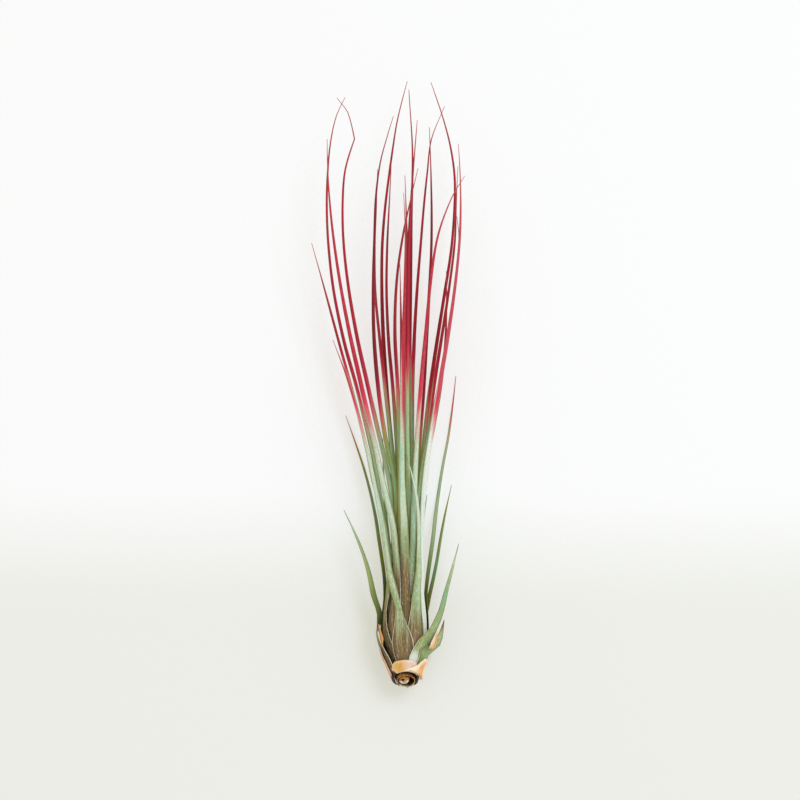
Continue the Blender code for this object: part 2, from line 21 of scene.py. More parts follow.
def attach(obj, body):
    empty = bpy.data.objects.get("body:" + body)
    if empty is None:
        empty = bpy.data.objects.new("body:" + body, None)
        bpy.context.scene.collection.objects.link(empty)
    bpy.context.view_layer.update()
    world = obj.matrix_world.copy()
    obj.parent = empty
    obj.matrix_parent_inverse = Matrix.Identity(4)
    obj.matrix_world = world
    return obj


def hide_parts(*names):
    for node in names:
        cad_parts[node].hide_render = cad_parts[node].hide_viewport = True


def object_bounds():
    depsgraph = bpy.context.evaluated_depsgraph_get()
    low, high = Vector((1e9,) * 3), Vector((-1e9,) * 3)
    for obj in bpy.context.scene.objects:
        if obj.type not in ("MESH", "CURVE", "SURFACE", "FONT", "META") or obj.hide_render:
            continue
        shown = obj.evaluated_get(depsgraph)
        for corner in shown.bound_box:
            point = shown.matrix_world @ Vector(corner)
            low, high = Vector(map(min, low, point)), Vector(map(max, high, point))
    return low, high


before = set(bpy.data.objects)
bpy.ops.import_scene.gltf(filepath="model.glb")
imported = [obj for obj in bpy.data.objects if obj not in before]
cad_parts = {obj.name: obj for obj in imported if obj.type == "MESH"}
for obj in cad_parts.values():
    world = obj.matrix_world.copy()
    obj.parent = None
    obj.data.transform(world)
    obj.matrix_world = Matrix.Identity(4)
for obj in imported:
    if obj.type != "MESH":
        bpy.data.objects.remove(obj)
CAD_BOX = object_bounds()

LOG = logging.getLogger("air_plant")
MM = 0.001
CUT_END_Y = CAD_BOX[0].y
SEEDS_APART = (17.31, 5.7)

Triple = tuple[float, float, float]
Corner = bmesh.types.BMVert
Edge = bmesh.types.BMEdge


def eased(value: float, low: float, high: float) -> float:
    """Eases from 0 at the low value to 1 at the high one, which may lie below it."""
    share = min(1.0, max(0.0, (value - low) / (high - low)))
    return share * share * (3 - 2 * share)


def lerp(first: float, last: float, share: float) -> float:
    """Returns the value at this share of the way from the first to the last."""
    return first + (last - first) * share


def wander(seed: float, place: float, rate: float) -> float:
    """Returns a smooth value from -1 to 1 at a place on the seed's line, which swings at a rate."""
    return noise.noise(Vector((place * rate, *(seed * apart for apart in SEEDS_APART))))


def ring_noise(turn: float, rate: float, layer: float) -> float:
    """Returns a smooth value from -1 to 1 at an angle round a ring, which meets itself there."""
    return noise.noise(Vector((math.cos(turn) * rate, math.sin(turn) * rate, layer)))


def srgb(red: int, green: int, blue: int) -> Triple:
    """Returns the linear colour of three display values from 0 to 255."""
    return tuple(((c / 255 + 0.055) / 1.055) ** 2.4 if c > 10 else c / 255 / 12.92
                 for c in (red, green, blue))


def stand(name: str, data: bpy.types.ID) -> bpy.types.Object:
    """Makes an object of the data and puts it in the scene.

    Args:
        name: The object's name.
        data: Its mesh, light or camera.

    Returns:
        The object.
    """
    made = bpy.data.objects.new(name, data)
    bpy.context.scene.collection.objects.link(made)
    return made


def stand_mesh(name: str, mesh: bmesh.types.BMesh) -> bpy.types.Object:
    """Makes an object of a mesh in the making and puts it in the scene.

    Args:
        name: The object's name.
        mesh: The mesh, which is freed.

    Returns:
        The object.
    """
    data = bpy.data.meshes.new(name)
    mesh.to_mesh(data)
    mesh.free()
    return stand(name, data)


class Value:
    """A socket of a material's node tree that takes part in Python arithmetic."""

    def __init__(self, graph: "Graph", socket: bpy.types.NodeSocket) -> None:
        """Wraps a socket of the graph."""
        self.graph = graph
        self.socket = socket

    def _math(self, operation: str, *values: object) -> "Value":
        """Adds a Math node over the values and returns its result."""
        return self.graph.node("ShaderNodeMath", {"operation": operation}, dict(enumerate(values)))

    def __add__(self, other: object) -> "Value":
        """Returns the sum."""
        return self._math("ADD", self, other)

    def __sub__(self, other: object) -> "Value":
        """Returns the difference."""
        return self._math("SUBTRACT", self, other)

    def __rsub__(self, other: object) -> "Value":
        """Returns the difference the other way round."""
        return self._math("SUBTRACT", other, self)

    def __mul__(self, other: object) -> "Value":
        """Returns the product."""
        return self._math("MULTIPLY", self, other)

    __radd__, __rmul__ = __add__, __mul__

    def __abs__(self) -> "Value":
        """Returns the size without its sign."""
        return self._math("ABSOLUTE", self)

    def at_least(self, other: object) -> "Value":
        """Returns the larger of the two."""
        return self._math("MAXIMUM", self, other)

    def ease(self, low: float, high: float) -> "Value":
        """Eases from 0 at the low value to 1 at the high one, which may lie below it."""
        ends = {3: 0.0, 4: 1.0} if low < high else {3: 1.0, 4: 0.0}
        return self.graph.node("ShaderNodeMapRange", {"interpolation_type": "SMOOTHSTEP"},
                               {0: self, 1: min(low, high), 2: max(low, high), **ends})


class Graph:
    """The node tree of one material, with one method that makes every node."""

    def __init__(self, name: str, colour: Triple) -> None:
        """Makes the material and keeps its Principled shader.

        Args:
            name: The material's name.
            colour: The colour that lies lowest.
        """
        self.colour = colour
        self.material = bpy.data.materials.new(name)
        self.material.use_nodes = True
        self.tree = self.material.node_tree
        self.shader = self.tree.nodes["Principled BSDF"]

    def node(self, kind: str, settings: dict[str, object], values: dict[int | str, object],
             out: int | str = 0) -> Value:
        """Adds a node.

        Args:
            kind: The node's type.
            settings: The node's own settings, set first.
            values: What each socket is set to or linked from.
            out: The socket that is returned.

        Returns:
            The node's output.
        """
        made = self.tree.nodes.new(kind)
        for name, setting in settings.items():
            setattr(made, name, setting)
        for name, value in values.items():
            self.feed(made.inputs[name], value)
        return Value(self, made.outputs[out])

    def feed(self, socket: bpy.types.NodeSocket, value: object) -> None:
        """Links a value to a socket, or sets it there.

        Args:
            socket: The input that is fed.
            value: A value of the graph, a number or a colour.
        """
        if isinstance(value, Value):
            self.tree.links.new(value.socket, socket)
        elif isinstance(value, tuple) and socket.type == "RGBA":
            socket.default_value = (*value, 1.0)
        else:
            socket.default_value = value

    def attribute(self, name: str) -> tuple[Value, Value, Value]:
        """Returns the three parts of a mesh attribute."""
        return self.parts(self.node("ShaderNodeAttribute", {"attribute_name": name}, {}, "Vector"))

    def parts(self, vector: Value) -> tuple[Value, Value, Value]:
        """Returns a vector's three parts."""
        split = self.node("ShaderNodeSeparateXYZ", {}, {0: vector})
        return tuple(Value(self, part) for part in split.socket.node.outputs)

    def vector(self, *parts: object) -> Value:
        """Joins three values to a vector."""
        return self.node("ShaderNodeCombineXYZ", {}, dict(enumerate(parts)))

    def place(self, scale: float = 1.0) -> Value:
        """Returns the Object coordinates times a scale."""
        spot = self.node("ShaderNodeTexCoord", {}, {}, "Object")
        return self.node("ShaderNodeVectorMath", {"operation": "MULTIPLY"}, {0: spot, 1: (scale,) * 3})

    def noise(self, vector: Value, detail: float = 3.0, rough: float = 0.55,
              scale: float = 1.0) -> Value:
        """Adds a Noise texture.

        Args:
            vector: The coordinates that it reads.
            detail: Its octaves.
            rough: How strong the fine octaves are.
            scale: Its swings over a unit.

        Returns:
            Its value, about 0.5 in the middle.
        """
        return self.node("ShaderNodeTexNoise", {}, {"Vector": vector, "Scale": scale,
                                                    "Detail": detail, "Roughness": rough})

    def streaks(self, wide: float, long: float, layer: float, *octaves: float) -> Value:
        """Returns a layer of noise with its own swings a millimetre across and along a blade."""
        across, grain, _ = self.attribute("blade")
        return self.noise(self.vector(across * wide, grain * long, layer), *octaves)

    def specks(self, vector: Value, scale: float) -> Value:
        """Adds a Voronoi texture and returns the distance to its nearest point."""
        return self.node("ShaderNodeTexVoronoi", {}, {"Vector": vector, "Scale": scale})

    def mix(self, first: object, last: object, factor: object) -> Value:
        """Mixes two colours, the last one as far as the factor says."""
        return self.node("ShaderNodeMix", {"data_type": "RGBA"}, {0: factor, 6: first, 7: last}, 2)

    def lay(self, colour: object, factor: object) -> None:
        """Lays a colour over those so far, as far as the factor says."""
        self.colour = self.mix(self.colour, colour, factor)

    def bump(self, height: Value, depth_mm: float) -> Value:
        """Adds a Bump node of a depth in millimetres."""
        return self.node("ShaderNodeBump", {}, {"Height": height, "Strength": 1.0,
                                                "Distance": depth_mm * MM})

    def finish(self, **sockets: object) -> bpy.types.Material:
        """Feeds the colour to the shader, and values to its sockets.

        Args:
            sockets: What each socket is fed, by its name with underscores for spaces.

        Returns:
            The material.
        """
        for name, value in {"Base_Color": self.colour, **sockets}.items():
            self.feed(self.shader.inputs[name.replace("_", " ")], value)
        return self.material


class Slot(Enum):
    """The record's materials."""

    GREEN = "green_leaf"
    RED = "red_leaf"
    DRY = "dry_sheath"
    STEM = "cut_stem"


@dataclass(frozen=True)
class Section:
    """One cross section of a leaf or scale, as its solid has it."""

    middle: Vector
    outward: Vector
    side: Vector
    half: float
    curl: float
    wall: float

    def point(self, across: float, depth: float) -> Vector:
        """Finds a point on the section.

        Args:
            across: From -1 at one edge to 1 at the other.
            depth: From -0.5 on the inner face to 0.5 on the outer one, in walls.

        Returns:
            The point.
        """
        radius = self.half / self.curl
        angle = across * self.curl
        reach = radius + depth * self.wall
        return (self.middle + self.outward * (reach * math.cos(angle) - radius)
                + self.side * (reach * math.sin(angle)))


class Spine:
    """The run of sections that a leaf's solid holds, from its foot to its tip."""

    CORNERS = 8
    MERGE_MM = 0.002
    LEAST_CURL = 0.05
    TINY = 1e-9
    KEPT_BEND = 28.0
    ROUNDED_BEND = 20.0

    def __init__(self, node: str, kinked: bool = False) -> None:
        """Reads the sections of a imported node.

        Args:
            node: The node's name.
            kinked: Whether its run keeps its sharp corners.
        """
        self.kinked = kinked
        rings, self.apex = self._rings(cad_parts[node])
        turned = self._aligned(rings)
        to_right = sum(ring[4].x - ring[0].x for ring in turned) > 0
        self.sections = [self._section(ring, to_right) for ring in turned]
        self.line = [section.middle for section in self.sections] + [self.apex]
        self.steps = [0.0]
        for near, far in zip(self.line, self.line[1:]):
            self.steps.append(self.steps[-1] + (far - near).length)
        self.length = self.steps.pop()

    @classmethod
    def _rings(cls, node: bpy.types.Object) -> tuple[list[list[Vector]], Vector]:
        """Sorts a merged copy of the solid's corners into rings, by their steps from the tip.

        Args:
            node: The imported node.

        Returns:
            The rings from the foot to the tip, and the tip.
        """
        mesh = bmesh.new()
        mesh.from_mesh(node.data)
        bmesh.ops.remove_doubles(mesh, verts=mesh.verts, dist=cls.MERGE_MM * MM)
        found = []
        for tip in (v for v in mesh.verts if len(v.link_edges) == cls.CORNERS):
            rings, seen, ring = [], {tip}, [tip]
            while ring:
                ring = sorted({e.other_vert(v) for v in ring for e in v.link_edges} - seen,
                              key=lambda v: v.index)
                seen.update(ring)
                rings.append(ring)
            rings.pop()
            if all(len(r) == cls.CORNERS for r in rings):
                found.append(([cls._round(r) for r in reversed(rings)], tip.co.copy()))
        mesh.free()
        return max(found, key=lambda run: len(run[0]))

    @staticmethod
    def _round(ring: Sequence[Corner]) -> list[Vector]:
        """Goes round a ring from corner to corner.

        Args:
            ring: The corners, in any order.

        Returns:
            Their places, in the order in which the ring's edges join them.
        """
        members, order = set(ring), [ring[0]]
        while len(order) < len(ring):
            # An edge whose faces lie wholly in the ring crosses the flat foot, so it is left out.
            round_it = [e for e in order[-1].link_edges
                        if any(v not in members for f in e.link_faces for v in f.verts)]
            ahead = [e.other_vert(order[-1]) for e in round_it]
            order.append(next(v for v in ahead if v in members and v not in order))
        return [v.co.copy() for v in order]

    @classmethod
    def _aligned(cls, rings: list[list[Vector]]) -> list[list[Vector]]:
        """Turns every ring so that its corners follow those of the ring before.

        Args:
            rings: The rings from the foot to the tip.

        Returns:
            The rings, the widest chord of the first between its corners 0 and 4, and its
            outer corners 1 to 3.
        """
        first = rings[0]
        start = max(range(4), key=lambda i: (first[i] - first[i + 4]).length)
        first = first[start:] + first[:start]
        chord = (first[0] + first[4]) / 2
        bulge = sum(first, Vector()) / cls.CORNERS - chord
        outer = sum(first[1:4], Vector()) / 3 - chord
        inner = sum(first[5:8], Vector()) / 3 - chord
        if outer.dot(bulge) < inner.dot(bulge):
            first = [first[0]] + first[:0:-1]
        aligned = [first]
        for ring in rings[1:]:
            turns = [order[turn:] + order[:turn] for turn in range(cls.CORNERS)
                     for order in (ring, ring[::-1])]
            last = cls._unit(aligned[-1])
            aligned.append(min(turns, key=lambda option: sum(
                (p - q).length for p, q in zip(cls._unit(option), last))))
        return aligned

    @classmethod
    def _unit(cls, ring: list[Vector]) -> list[Vector]:
        """Takes a ring's place and size out of it.

        Args:
            ring: The corners.

        Returns:
            The ring, moved to the origin and scaled to a size of 1.
        """
        centre = sum(ring, Vector()) / cls.CORNERS
        size = max((corner - centre).length for corner in ring)
        return [(corner - centre) / size for corner in ring]

    @classmethod
    def _section(cls, ring: Sequence[Vector], to_right: bool) -> Section:
        """Works out a section's sizes from its eight corners.

        Args:
            ring: The corners.
            to_right: Whether corner 4 is on the plant's right.

        Returns:
            The section, its side towards the plant's right.
        """
        chord = (ring[4] - ring[0]) * (1 if to_right else -1)
        middle = (ring[2] + ring[6]) / 2
        wall = ring[2] - ring[6]
        rise = (middle - (ring[0] + ring[4]) / 2).length
        curl = max(cls.LEAST_CURL, 2 * math.atan2(rise, chord.length / 2))
        half = chord.length / 2 / math.sin(curl) * curl
        return Section(middle, wall.normalized(), chord.normalized(), half, curl, wall.length)

    def _tangent(self, before: Vector, here: Vector, after: Vector) -> Vector:
        """Finds the way the run goes through a point.

        Args:
            before: The point before.
            here: The point.
            after: The point after.

        Returns:
            A direction, of length 1, or of length 0 at a sharp corner that is kept.
        """
        if (after - before).length < self.TINY:
            return Vector()
        straight = (after - before).normalized()
        if not self.kinked or min((here - before).length, (after - here).length) < self.TINY:
            return straight
        bend = math.degrees((here - before).angle(after - here))
        return straight * eased(bend, self.KEPT_BEND, self.ROUNDED_BEND)

    def _middle(self, index: int, share: float) -> Vector:
        """Finds a point on the smooth line through the sections' middles.

        Args:
            index: The last section before the point.
            share: How far the point is on the way to the next.

        Returns:
            The point.
        """
        first, last, after = self.line[index:index + 3]
        before = self.line[max(0, index - 1)]
        span = (last - first).length
        start = self._tangent(before, first, last) * span
        end = self._tangent(first, last, after) * span
        square, cube = share**2, share**3
        return (first * (2 * cube - 3 * square + 1) + start * (cube - 2 * square + share)
                + last * (3 * square - 2 * cube) + end * (cube - square))

    def at(self, step: float) -> Section:
        """Finds the section at a distance from the foot.

        Args:
            step: The distance, in metres.

        Returns:
            The section, on a smooth curve through the solid's own.
        """
        index = sum(end < step for end in self.steps[1:-1])
        near, far = self.sections[index:index + 2]
        share = (step - self.steps[index]) / (self.steps[index + 1] - self.steps[index])
        share = min(1.0, max(0.0, share))
        outward = near.outward.lerp(far.outward, share).normalized()
        side = near.side.lerp(far.side, share)
        side = (side - outward * side.dot(outward)).normalized()
        sizes = (lerp(getattr(near, name), getattr(far, name), share)
                 for name in ("half", "curl", "wall"))
        return Section(self._middle(index, share), outward, side, *sizes)


class Sheet:
    """A mesh in the making, whose corners carry what the finishes read."""

    def __init__(self, name: str, marks: Iterable[str]) -> None:
        """Starts an empty mesh.

        Args:
            name: The finished piece's name.
            marks: The names of the vectors that each corner carries.
        """
        self.name = name
        self.mesh = bmesh.new()
        self.number = self.mesh.verts.layers.int.new("number")
        self.marks = {mark: self.mesh.verts.layers.float_vector.new(mark) for mark in marks}

    def tube(self, sides: int, rows: Iterable[tuple],
             shape: Callable[["Sheet", Corner, float, tuple], None]) -> tuple[list[Edge], list[Edge]]:
        """Extrudes a circle through rows, and shapes each corner as it is made.

        Args:
            sides: How many corners a ring has.
            rows: What each ring is shaped by.
            shape: Moves and marks a corner, by its angle round the ring and its row.

        Returns:
            The edges of the first ring and of the last.
        """
        circle = bmesh.ops.create_circle(self.mesh, cap_ends=False, segments=sides, radius=MM)
        ring, first = circle["verts"], self.mesh.edges[:]
        for number, vertex in enumerate(ring):
            vertex[self.number] = number
        last = first
        for index, row in enumerate(rows):
            if index:
                made = bmesh.ops.extrude_edge_only(self.mesh, edges=last)["geom"]
                ring = [part for part in made if isinstance(part, Corner)]
                last = [part for part in made if isinstance(part, Edge)]
            for vertex in ring:
                shape(self, vertex, 2 * math.pi * vertex[self.number] / sides, row)
        return first, last

    def close(self, *ends: list[Edge]) -> None:
        """Closes each open end with one face, cut into triangles.

        Args:
            ends: The edges of each end.
        """
        for edges in ends:
            made = bmesh.ops.contextual_create(self.mesh, geom=edges)
            bmesh.ops.triangulate(self.mesh, faces=made["faces"])

    def mark(self, vertex: Corner, **marks: Triple) -> None:
        """Writes what a corner carries."""
        for name, value in marks.items():
            vertex[self.marks[name]] = value

    def piece(self, node: str, slot: Slot) -> bpy.types.Object:
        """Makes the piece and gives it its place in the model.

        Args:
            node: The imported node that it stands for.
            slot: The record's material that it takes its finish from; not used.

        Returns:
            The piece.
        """
        bmesh.ops.recalc_face_normals(self.mesh, faces=self.mesh.faces)
        made = stand_mesh(self.name, self.mesh)
        made.data.shade_smooth()
        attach(made, "root")
        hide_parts(node)
        return made


@dataclass
class PlantPart:
    """A part of the plant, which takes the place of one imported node."""

    node: str
    piece: bpy.types.Object = field(init=False, default=None)

    def dress(self, finish: bpy.types.Material) -> None:
        """Gives the part's piece its finish."""
        self.piece.data.materials.append(finish)


class LeafGraph(Graph):
    """A leaf's node tree, with the marks of its blade and the noises along it."""

    MARKS = ("blade", "habit", "tones", "cast")

    def __init__(self, name: str, colour: Triple) -> None:
        """Reads the marks and adds the noises, the sway from about -0.5 to 0.5.

        Args:
            name: The material's name.
            colour: The colour that lies lowest.
        """
        super().__init__(name, colour)
        across, grain, edge = self.attribute("blade")
        self.past_red, self.past_brown, self.tip = self.attribute("habit")
        self.silver, self.deep, self.inside = self.attribute("tones")
        self.foot, self.warm, self.bare = self.attribute("cast")
        self.edge = abs(edge)
        self.cloud = self.streaks(0.5, 0.035, 0.0)
        self.sway = self.streaks(1.7, 0.05, 3.0, 4.0, 0.6) - 0.5
        self.fine = self.streaks(6.0, 0.5, 7.0, 3.0, 0.6)
        self.flecks = self.streaks(2.3, 0.42, 11.0, 2.0, 0.5)
        self.veins = self.streaks(4.5, 0.02, 5.0, 2.0, 0.5)
        self.dots = self.specks(self.vector(across * 1.5, grain * 1.1, 0.0), 1.2)


@dataclass(frozen=True)
class LeafFinish:
    """A leaf: green under silver scurf, brown in its sheath and crimson past its red line."""

    sage: Triple = srgb(176, 204, 154)
    moss: Triple = srgb(122, 146, 66)
    deep: Triple = srgb(94, 116, 26)
    olive: Triple = srgb(154, 150, 32)
    pale: Triple = srgb(196, 218, 194)
    silver: Triple = srgb(232, 238, 228)
    mist: Triple = srgb(128, 182, 150)
    blush: Triple = srgb(234, 62, 98)
    crimson: Triple = srgb(186, 26, 48)
    maroon: Triple = srgb(122, 2, 22)
    rose: Triple = srgb(202, 98, 110)
    flame: Triple = srgb(226, 140, 74)
    coral: Triple = srgb(196, 100, 90)
    brown: Triple = srgb(104, 72, 38)
    taupe: Triple = srgb(156, 128, 84)
    shadow: Triple = srgb(52, 26, 14)
    margin: Triple = srgb(244, 236, 218)
    rim: Triple = srgb(128, 112, 40)
    red_rim: Triple = srgb(104, 44, 26)
    dead_tip: Triple = srgb(112, 48, 34)
    relief_mm: float = 0.10

    def make(self, name: str) -> bpy.types.Material:
        """Makes the material.

        Args:
            name: The material's name.

        Returns:
            The material.
        """
        leaf = LeafGraph(name, self.sage)
        self._green(leaf)
        scurf = leaf.flecks * 0.32 + leaf.fine * 0.53 + leaf.cloud * 0.3
        # Slightly less scurf on the inner face, a touch of painted shade.
        scurf = (scurf + leaf.silver * 0.16 - leaf.inside * 0.06).ease(0.62, 0.82)
        leaf.lay(self.silver, scurf * (leaf.silver * 0.44 + 0.26))
        leaf.lay(self.rim, (leaf.edge + leaf.sway * 0.4).ease(0.56, 0.95) * 0.72)
        self._red(leaf)
        bloom = scurf * leaf.silver.ease(-0.1, 1.0) * leaf.past_red.ease(0.0, 30.0)
        leaf.lay(self.rose, bloom * 0.6)
        self._sheath(leaf)
        # Painted shade deep in the nest, darkening each leaf's foot.
        leaf.lay(self.shadow, (leaf.foot + leaf.sway * 3.0).ease(4.2, 1.0) * 0.9)
        dead = (leaf.tip + leaf.sway * 6.0).ease(9.0, 2.5) * leaf.past_red.ease(10.0, -10.0)
        leaf.lay(self.dead_tip, dead * 0.9)
        return leaf.finish(Roughness=scurf * 0.3 + leaf.fine * 0.12 + 0.42,
                           Normal=leaf.bump(leaf.veins + leaf.fine * 0.35, self.relief_mm),
                           Sheen_Weight=0.03, Specular_IOR_Level=0.25)

    def _green(self, leaf: LeafGraph) -> None:
        """Lays moss low down on the sage, then deep green that is partly painted shade, olive, pale
        and misty patches.

        Args:
            leaf: The material's graph.
        """
        low = (leaf.foot + (leaf.cloud - 0.5) * 40.0).ease(84.0, 34.0)
        leaf.lay(self.moss, low * 0.85)
        # Partly painted shade: deep green on dark leaves, on the shaded half and on the inner face;
        # the rest is the leaf's own darker tone.
        shade = (leaf.deep * 0.72 + leaf.sway * 0.8 + leaf.inside * 0.12).ease(0.14, 1.0)
        leaf.lay(self.deep, shade * 0.86)
        olive = (leaf.cloud + leaf.sway * 0.4).ease(0.42, 0.66)
        leaf.lay(self.olive, olive * (leaf.deep * 0.6 + 0.3))
        pale = leaf.silver - low * 0.6 + leaf.sway * 0.9 + (leaf.fine - 0.5) * 0.5 - leaf.deep * 0.4
        leaf.lay(self.pale, pale.ease(0.0, 0.85) * 0.8)
        leaf.lay(self.mist, (leaf.cloud - leaf.sway * 0.5).ease(0.48, 0.32) * 0.6)

    def _red(self, leaf: LeafGraph) -> None:
        """Lays the crimson over the green: later on the edges, and speckled where it begins.

        Args:
            leaf: The material's graph.
        """
        place = leaf.past_red + leaf.sway * 34.0 - leaf.edge.ease(0.35, 1.0) * 14.0
        dotted = leaf.dots.ease(0.38, 0.2) * place.ease(-34.0, -6.0) * leaf.deep.ease(0.6, 0.35)
        tone = leaf.mix(self.blush, self.crimson, place.ease(2.0, 30.0))
        tone = leaf.mix(tone, self.flame, leaf.warm * place.ease(14.0, -8.0))
        # Maroon on dark leaves: partly their own colour, partly painted shade on the shaded half and
        # on leaves lying behind.
        dark = (leaf.deep + leaf.sway * 0.9).ease(0.2, 1.0) * place.ease(-6.0, 26.0)
        tone = leaf.mix(tone, self.maroon, dark * 0.95)
        tone = leaf.mix(tone, self.red_rim, (leaf.edge + leaf.sway * 0.3).ease(0.66, 0.95) * 0.5)
        tone = leaf.mix(tone, self.coral, leaf.tip.ease(46.0, 0.0) * 0.55)
        leaf.lay(tone, place.ease(-12.0, 14.0).at_least(dotted * 0.8))

    def _sheath(self, leaf: LeafGraph) -> None:
        """Lays the brown sheath under the green, with painted shade on its sides and inner face,
        silver dashes and a pale margin.

        Args:
            leaf: The material's graph.
        """
        sheath, sway, cloud, dust = leaf.past_brown, leaf.sway, leaf.cloud, leaf.fine - 0.5
        tone = leaf.mix(self.brown, self.taupe, (sway * 0.7 + cloud * 0.6).ease(0.15, 0.55))
        tone = leaf.mix(tone, self.olive, (cloud - sway * 0.3).ease(0.5, 0.3) * 0.5)
        # Painted shade along the sheath's sides, between it and its neighbours.
        tone = leaf.mix(tone, self.shadow, (leaf.edge + sway * 0.6).ease(0.4, 1.0) * 0.6)
        body = (sheath + sway * 24.0 + (cloud - 0.5) * 20.0).ease(9.0, -9.0)
        leaf.lay(tone, body * 0.94 * (1.0 - leaf.bare))
        dashes = (leaf.flecks * 0.6 + leaf.fine * 0.5).ease(0.61, 0.7) * cloud.ease(0.36, 0.54)
        leaf.lay(self.silver, dashes * sheath.ease(1.0, -14.0) * 0.6)
        frost = leaf.bare * (sheath + sway * 9.0 + dust * 4.0).ease(-2.0, -7.0)
        leaf.lay(self.silver, frost * 0.85)
        # Painted shade on the sheath's inner face.
        leaf.lay(self.shadow, leaf.inside * sheath.ease(30.0, 0.0) * 0.45)
        rim = (leaf.edge + dust * 0.12).ease(0.89, 0.96) * sheath.ease(12.0, -2.0)
        leaf.lay(self.margin, rim * 0.85)


@dataclass
class LivingLeaf(PlantPart):
    """One leaf, from its clasping sheath to its needle tip.

    The lines and the other places are millimetres up the plant from its cut end. Silver is how
    thick the scurf is, and deep how dark the leaf is: partly its own darker tone, partly painted
    shade on leaves that lie behind others. The side that is darker, from -1 to 1, is the edge whose
    half takes painted shade, as if the light fell on the other side of the channelled blade. The
    slant is how many millimetres further up the red begins at the right edge. A warm leaf turns
    orange before it turns red, and a bare one has no brown in its sheath. The waists are the
    shares of the half width that are missing left and right, around waist_at. A kinked leaf keeps
    its sharp corners.
    """

    slot: Slot
    red_line: float
    brown_to: float
    silver: float
    deep: float
    shaded_half: float = 0.0
    red_slant: float = 0.0
    warm: float = 0.0
    bare: float = 0.0
    waists: tuple[float, float] = (0.0, 0.0)
    waist_at: float = 19.0
    kinked: bool = False
    sides: int = 20
    stride_mm: float = 3.6
    keel: float = 0.22
    keel_width: float = 0.3
    needle_width: float = 0.42
    wobble: float = 0.035
    waves: float = 160.0
    low_width: float = 0.75
    high_width: float = 0.95
    seed: int = field(init=False)

    NEEDLE_SHARE = 0.2
    NEEDLE_MOST_MM = 58.0
    FREE_OF_SHEATH = (24.0, 64.0)
    WIDTHS_CHANGE = (114.0, 174.0)
    WAIST_MM = 9.0
    HALF_SHADE_STEP = (0.42, 2.5)
    INNER_FACE = (1 / 6, -1 / 6)
    INNER_KEEL = -0.5
    GRAINS_APART_MM = 211.0

    def __post_init__(self) -> None:
        """Takes the leaf's number from its node's name, as the seed of its own variation."""
        self.seed = int(self.node.split("_")[1])

    def build(self) -> None:
        """Models the leaf in the place of its solid."""
        spine = Spine(self.node, self.kinked)
        sheet = Sheet(self.node + "_blade", LeafGraph.MARKS)
        rows = [(self._section(spine, step), step / MM, (spine.length - step) / MM)
                for step in self._steps(spine)]
        foot, tip = sheet.tube(self.sides, rows, self._shape)
        sheet.close(tip, foot)
        self.piece = sheet.piece(self.node, self.slot)

    def _steps(self, spine: Spine) -> list[float]:
        """Finds where the leaf's sections stand.

        Args:
            spine: The run of the leaf's solid.

        Returns:
            How far each section is along the leaf, in metres.
        """
        steps = [0.0]
        for near, far in zip(spine.steps, spine.steps[1:]):
            count = max(1, round((far - near) / (self.stride_mm * MM)))
            steps += [near + (far - near) * (part + 1) / count for part in range(count)]
        return steps

    def _section(self, spine: Spine, step: float) -> Section:
        """Finds the blade's section, slimmer than the solid's and slimmest in its needle.

        Args:
            spine: The run of the leaf's solid.
            step: How far along the leaf the section stands.

        Returns:
            The section.
        """
        solid = spine.at(step)
        up = (solid.middle.y - CUT_END_Y) / MM
        needle_mm = min(self.NEEDLE_MOST_MM, self.NEEDLE_SHARE * spine.length / MM)
        slim = lerp(self.needle_width, 1.0, eased((spine.length - step) / MM, 0.0, needle_mm))
        wave = 1 + self.wobble * wander(self.seed, step, self.waves)
        blade = lerp(self.low_width, self.high_width, eased(up, *self.WIDTHS_CHANGE))
        width = slim * wave * lerp(1.0, blade, eased(up, *self.FREE_OF_SHEATH))
        return replace(solid, half=solid.half * width, wall=solid.wall * slim)

    def _shape(self, sheet: Sheet, vertex: Corner, turn: float,
               row: tuple[Section, float, float]) -> None:
        """Moves a corner to its section and marks it for the finish.

        Args:
            sheet: The mesh in the making.
            vertex: The corner.
            turn: Its angle round the ring.
            row: The section, and the millimetres to it from the foot and from it to the tip.
        """
        section, foot_mm, tip_mm = row
        up = (section.middle.y - CUT_END_Y) / MM
        edge, depth = -math.cos(turn), math.sin(turn)
        pinch = math.exp(-((up - self.waist_at) / self.WAIST_MM)**2)
        across = edge * (1 - pinch * self.waists[edge > 0])
        ridge = math.exp(-(across / self.keel_width)**2) if depth > 0 else self.INNER_KEEL
        vertex.co = section.point(across, 0.5 * depth * (1 + self.keel * ridge))
        station = (vertex.co.y - CUT_END_Y) / MM
        past_red = station - self.red_line - self.red_slant * edge
        # Painted shade: one half of the blade is darker, as if the light fell on the other side of its
        # channel.
        dark, sharpness = self.HALF_SHADE_STEP
        shade = self.deep + dark * self.shaded_half * math.tanh(sharpness * edge)
        grain = foot_mm + self.seed * self.GRAINS_APART_MM
        sheet.mark(vertex, blade=(across * section.half / MM, grain, edge),
                   habit=(past_red, station - self.brown_to, tip_mm),
                   tones=(self.silver, shade, eased(depth, *self.INNER_FACE)),
                   cast=(foot_mm, self.warm, self.bare))


